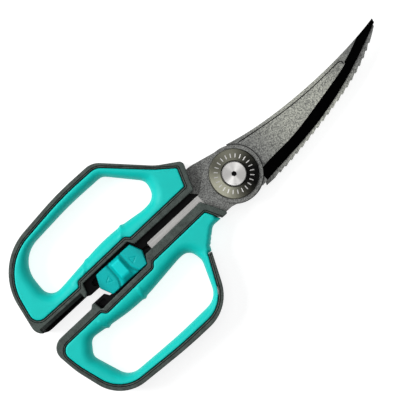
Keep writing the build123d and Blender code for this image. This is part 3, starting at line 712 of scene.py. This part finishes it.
# ------------------------------------------------------------------ lock button
def thumb_button():
    """The thumb slider: two pads with engraved arrows, and a hollow-flanked saddle between them."""
    sizes = bpy.context.scene.shear_sizes
    (x0, y0, low), (x1, y1, high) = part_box("lock_button")
    centre = Vector(((x0 + x1) / 2, (y0 + y1) / 2))
    above_base = low + 2 * MM
    outer = eased(evenly(section("lock_button", above_base)[0], 0.35 * MM), 2)
    edge_rows = [depth * MM for depth in (0.08, 0.22, 0.45, 0.7)]
    flat, faces, outer_row, _ = carpet(outer, None, 0.36 * MM, edge_rows, [])
    edge = gap_to_loop(flat, outer)
    edge[outer_row] = 0.0
    pad = high - 1.9 * MM
    across = np.abs(flat[:, 0] - centre.x - 0.2 * MM)
    # the saddle flares where it runs down to the button's lower side
    flare_start, flare_run, flare_most = centre.y - 1.6 * MM, 6.0 * MM, 2.4 * MM
    flare = np.clip((flare_start - flat[:, 1]) / flare_run, 0, 1) ** 1.5 * flare_most
    off_saddle = across - sizes.saddle_width / 2
    saddle = (1 - np.clip(off_saddle / (sizes.saddle_flank + flare), 0, 1)) ** 1.9
    hollow_width, hollow_depth = 0.9 * MM, 0.75 * MM
    hollow = np.exp(-((off_saddle - sizes.saddle_flank * 0.8 - flare) / hollow_width) ** 2)
    # it falls away at both ends, further on the lower one
    off_middle = (flat[:, 1] - centre.y) / ((y1 - y0) / 2)
    far_end = np.clip((off_middle - 0.62) / 0.38, 0, 1)
    near_end = np.clip((-off_middle - 0.42) / 0.58, 0, 1)
    fall = 1 - 1.25 * far_end ** 1.4 - 1.35 * near_end ** 1.3
    top = pad + (high - pad) * saddle * fall - hollow_depth * hollow
    # the pads droop towards the button's two ends, and its edge is rounded
    droop_start, droop_run, droop_depth = 6.4 * MM, 9.0 * MM, 0.55 * MM
    top -= droop_depth * np.clip((across - droop_start) / droop_run, 0, 1) ** 2
    edge_round, edge_drop = 0.8 * MM, 0.9 * MM
    top -= edge_drop * (1 - roll(edge, edge_round))
    # an arrowhead is engraved in each pad, pointing outwards
    arrow_tip, arrow_back, arrow_half = 11.4 * MM, 7.9 * MM, 1.9 * MM
    arrow_line, arrow_depth = 0.36 * MM, 0.24 * MM
    for side in (-1, 1):
        tip, back = centre.x + side * arrow_tip, centre.x + side * arrow_back
        corners = np.array([(tip, centre.y), (back, centre.y + arrow_half), (back, centre.y - arrow_half)])
        top -= arrow_depth * np.clip(1 - (gap_to_loop(flat, corners) / arrow_line) ** 2, 0, 1)
    return solid_from("thumb_button", flat, faces, top, np.full(len(flat), low), outer_row, [])


class SHEARS_OT_lock(bpy.types.Operator):
    """Makes the teal thumb button of the slide lock"""

    bl_idname = "shears.lock"
    bl_label = "Slide Lock"

    def execute(self, context):
        mount_piece(thumb_button(), "slide_lock", "teal_plastic", "lock_button")
        return {"FINISHED"}


# ------------------------------------------------------------------ marks round the pivot
MARK_SUNK = 0.25 * MM
MARK_PROUD = 0.02 * MM


def mark_ring_tree(paint):
    """Geometry Nodes: short radial bars round a circle, in this material."""
    tree = bpy.data.node_groups.new("radial_marks", "GeometryNodeTree")
    names = (("Count", "NodeSocketInt"), ("Radius", "NodeSocketFloat"), ("Length", "NodeSocketFloat"),
             ("Width", "NodeSocketFloat"), ("Depth", "NodeSocketFloat"), ("Height", "NodeSocketFloat"))
    sockets = {name: tree.interface.new_socket(name, in_out="INPUT", socket_type=kind).identifier
               for name, kind in names}
    tree.interface.new_socket("Geometry", in_out="OUTPUT", socket_type="NodeSocketGeometry")
    given = tree.nodes.new("NodeGroupInput")
    output = tree.nodes.new("NodeGroupOutput")

    def add(kind, links, **settings):
        """A node of this kind, with the values or links of its sockets."""
        node = tree.nodes.new(kind)
        for key, value in settings.items():
            setattr(node, key, value)
        for key, value in links.items():
            if isinstance(value, bpy.types.NodeSocket):
                tree.links.new(value, node.inputs[key])
            else:
                node.inputs[key].default_value = value
        return node

    ring = add("GeometryNodeMeshCircle",
               {"Vertices": given.outputs["Count"], "Radius": given.outputs["Radius"]})
    bar = add("GeometryNodeCurvePrimitiveQuadrilateral",
              {"Width": given.outputs["Length"], "Height": given.outputs["Width"]})
    # the bar's ends are all but half round
    corner = add("ShaderNodeMath", {0: given.outputs["Width"], 1: 0.49}, operation="MULTIPLY")
    rounded = add("GeometryNodeFilletCurve",
                  {"Curve": bar.outputs[0], "Radius": corner.outputs[0], "Count": 4}, mode="POLY")
    face = add("GeometryNodeFillCurve", {"Curve": rounded.outputs[0]}, mode="NGONS")
    raised = add("GeometryNodeExtrudeMesh", {"Mesh": face.outputs[0], "Offset Scale": given.outputs["Depth"],
                                             "Individual": False})
    under = add("GeometryNodeFlipFaces", {"Mesh": face.outputs[0]})
    whole = tree.nodes.new("GeometryNodeJoinGeometry")
    tree.links.new(under.outputs[0], whole.inputs[0])
    tree.links.new(raised.outputs[0], whole.inputs[0])
    place = add("GeometryNodeInputPosition", {})
    turn = add("FunctionNodeAlignRotationToVector", {"Vector": place.outputs[0]}, axis="X", pivot_axis="Z")
    copies = add("GeometryNodeInstanceOnPoints", {"Points": ring.outputs[0], "Instance": whole.outputs[0],
                                                  "Rotation": turn.outputs[0]})
    real = add("GeometryNodeRealizeInstances", {"Geometry": copies.outputs[0]})
    lift = add("ShaderNodeCombineXYZ", {"Z": given.outputs["Height"]})
    moved = add("GeometryNodeTransform", {"Geometry": real.outputs[0], "Translation": lift.outputs[0]})
    painted = add("GeometryNodeSetMaterial", {"Geometry": moved.outputs[0], "Material": paint})
    tree.links.new(painted.outputs[0], output.inputs[0])
    return tree, sockets


class SHEARS_OT_marks(bpy.types.Operator):
    """Makes the ring of radial marks inlaid in the pivot disc"""

    bl_idname = "shears.marks"
    bl_label = "Pivot Marks"

    def execute(self, context):
        sizes = context.scene.shear_sizes
        face = top_of("front_disc")
        tree, sockets = mark_ring_tree(material("bright_steel"))
        carrier = bpy.data.objects.new("mark_builder", bpy.data.meshes.new("mark_builder"))
        context.collection.objects.link(carrier)
        modifier = carrier.modifiers.new("radial_marks", "NODES")
        modifier.node_group = tree
        wanted = {"Count": sizes.mark_count, "Radius": sizes.mark_orbit, "Length": sizes.mark_length,
                  "Width": sizes.mark_width, "Depth": MARK_SUNK + MARK_PROUD, "Height": face - MARK_SUNK}
        for name, value in wanted.items():
            modifier[sockets[name]] = value
        carrier.update_tag()
        context.view_layer.update()
        ready = carrier.evaluated_get(context.evaluated_depsgraph_get())
        mesh = bpy.data.meshes.new_from_object(ready)
        bpy.data.objects.remove(carrier)
        if not mesh.polygons:
            raise RuntimeError("the radial marks came out empty")
        mesh.name = "pivot_marks"
        made = finish_mesh("pivot_marks", mesh, FINE_WELD)
        mount_piece(made, "front_half", "bright_steel")
        return {"FINISHED"}


# ------------------------------------------------------------------ line round the panel
def ribbon(name, spine, width, low, high):
    """A thin closed strip along a line of points in millimetres, with its corners rounded off."""
    line = np.array(spine) * MM
    corner_cuts = 4
    for _ in range(corner_cuts):
        middle = np.empty((2 * len(line) - 2, 2))
        middle[0::2] = 0.75 * line[:-1] + 0.25 * line[1:]
        middle[1::2] = 0.25 * line[:-1] + 0.75 * line[1:]
        line = np.vstack([line[:1], middle, line[-1:]])
    along = np.gradient(line, axis=0)
    along /= np.linalg.norm(along, axis=1)[:, None]
    side = np.stack([-along[:, 1], along[:, 0]], axis=1) * width / 2
    mesh = bpy.data.meshes.new(name)
    rows = [(line + side, low), (line - side, low), (line - side, high), (line + side, high)]
    verts = [(x, y, z) for row, z in rows for x, y in row]
    count = len(line)
    faces = []
    for lane in range(4):
        here, there = lane * count, (lane + 1) % 4 * count
        faces += [(here + i, here + i + 1, there + i + 1, there + i) for i in range(count - 1)]
    faces += [tuple(lane * count for lane in range(4)), tuple(lane * count + count - 1 for lane in range(4))]
    mesh.from_pydata(verts, [], faces)
    return finish_mesh(name, mesh, FINE_WELD)


class SHEARS_OT_panel_line(bpy.types.Operator):
    """Makes a black strip of painted shade along the inner edge of the front blade's rim"""

    bl_idname = "shears.panel_line"
    bl_label = "Panel Line"

    def execute(self, context):
        sizes = context.scene.shear_sizes
        # the blade's highest face is the raised ring round the disc
        ring_above_panel = 1.2 * MM
        panel = top_of("front_blade") - ring_above_panel
        spine = [(14.2, 12.0), (22, 10.75), (32, 9.4), (41, 8.2), (53, 7.2), (65, 6.9), (77, 7.1),
                 (88.4, 7.8), (90.9, 7.2), (91.0, 4.9)]
        sunk, proud = 0.1 * MM, 0.03 * MM
        made = ribbon("panel_line", spine, sizes.line_width, panel - sunk, panel + proud)
        mount_piece(made, "front_half", "black_nylon")
        return {"FINISHED"}


# ------------------------------------------------------------------ carried-over pieces
class SHEARS_OT_metalwork(bpy.types.Operator):
    """Finishes the blades, the pivot and the steel inside"""

    bl_idname = "shears.metalwork"
    bl_label = "Metalwork"

    def execute(self, context):
        for node in (
            "front_blade", "rear_blade", "pivot_screw", "front_disc", "pivot_nut", "spring_housing",
            "opening_spring", "wave_washer", "pivot_bush", "stop_pin", "lock_screws", "detent_spring",
        ):
            wear(node)
        return {"FINISHED"}


class SHEARS_OT_mouldings(bpy.types.Operator):
    """Finishes the handle frames, the lock's nylon parts and the blade washer"""

    bl_idname = "shears.mouldings"
    bl_label = "Mouldings"

    def execute(self, context):
        for node in (
            "upper_handle_frame", "lower_handle_frame", "lock_carrier", "lock_retainer", "bay_cover",
            "blade_washer",
        ):
            wear(node)
        return {"FINISHED"}


# ------------------------------------------------------------------ floor, light and camera
def soft_box(name, place, target, size, power):
    """A rectangular white lamp that faces its target."""
    lamp = bpy.data.lights.new(name, "AREA")
    lamp.shape = "RECTANGLE"
    lamp.size, lamp.size_y = size
    lamp.energy = power
    made = bpy.data.objects.new(name, lamp)
    made.location = place
    made.rotation_euler = (Vector(target) - Vector(place)).to_track_quat("-Z", "Y").to_euler()
    bpy.context.collection.objects.link(made)


class SHEARS_OT_stage(bpy.types.Operator):
    """Sets out the pale floor, the soft lights and the camera"""

    bl_idname = "shears.stage"
    bl_label = "Stage"

    view_turn: bpy.props.FloatProperty(
        name="View turn", description="How far the view is turned about the vertical",
        default=math.radians(-42), subtype="ANGLE",
    )
    view_width: length("View width", "Width of the floor that the camera takes in", 244.4 * MM)

    def execute(self, context):
        scene = context.scene
        mesh = bpy.data.meshes.new("floor")
        reach, level = 3.0, -0.4 * MM
        corners = [(x * reach, y * reach, level) for x, y in ((-1, -1), (1, -1), (1, 1), (-1, 1))]
        mesh.from_pydata(corners, [], [(0, 1, 2, 3)])
        floor = bpy.data.objects.new("floor", mesh)
        context.collection.objects.link(floor)
        mesh.materials.append(pale_floor())
        world = bpy.data.worlds.new("studio")
        world.use_nodes = True
        sky = world.node_tree.nodes["Background"].inputs
        sky["Color"].default_value = (0.9, 0.95, 1.0, 1.0)
        sky["Strength"].default_value = 0.12
        scene.world = world
        middle = (-0.0247, -0.0047, 0.008)
        # the key light comes over the upper handle
        soft_box("key_light", (-0.55, 0.62, 0.62), middle, (0.5, 0.5), 11.5)
        soft_box("top_light", (0.1, 0.15, 1.25), middle, (1.0, 1.0), 5.6)
        soft_box("rim_light", (0.75, -0.35, 0.45), middle, (0.35, 0.5), 0.5)
        camera_data = bpy.data.cameras.new("camera")
        camera_data.lens = 135
        camera_data.sensor_width = 36
        camera_data.clip_start = 0.01
        camera = bpy.data.objects.new("camera", camera_data)
        distance = self.view_width * camera_data.lens / camera_data.sensor_width
        camera.location = (middle[0], middle[1], middle[2] + distance)
        camera.rotation_euler = (0, 0, self.view_turn)
        context.collection.objects.link(camera)
        scene.camera = camera
        scene.view_settings.view_transform = "Standard"
        return {"FINISHED"}


class SHEARS_PT_panel(bpy.types.Panel):
    bl_label = "Poultry Shears"
    bl_idname = "SHEARS_PT_panel"
    bl_space_type = "VIEW_3D"
    bl_region_type = "UI"
    bl_category = "Shears"

    def draw(self, context):
        column = self.layout.column()
        for operator in OPERATORS:
            column.operator(operator.bl_idname)
        for group in (context.scene.shear_sizes, context.scene.shear_colours):
            for name in group.__annotations__:
                column.prop(group, name)


OPERATORS = (
    SHEARS_OT_stage, SHEARS_OT_metalwork, SHEARS_OT_mouldings, SHEARS_OT_upper_grip, SHEARS_OT_lower_grip,
    SHEARS_OT_lock, SHEARS_OT_marks, SHEARS_OT_panel_line,
)
CLASSES = (ShearSizes, ShearColours, *OPERATORS, SHEARS_PT_panel)


def register():
    for made in CLASSES:
        bpy.utils.register_class(made)
    bpy.types.Scene.shear_sizes = bpy.props.PointerProperty(type=ShearSizes)
    bpy.types.Scene.shear_colours = bpy.props.PointerProperty(type=ShearColours)


def unregister():
    del bpy.types.Scene.shear_colours
    del bpy.types.Scene.shear_sizes
    for made in reversed(CLASSES):
        bpy.utils.unregister_class(made)


def main():
    register()
    for operator in OPERATORS:
        group, name = operator.bl_idname.split(".")
        getattr(getattr(bpy.ops, group), name)()


if __name__ == "__main__":
    main()
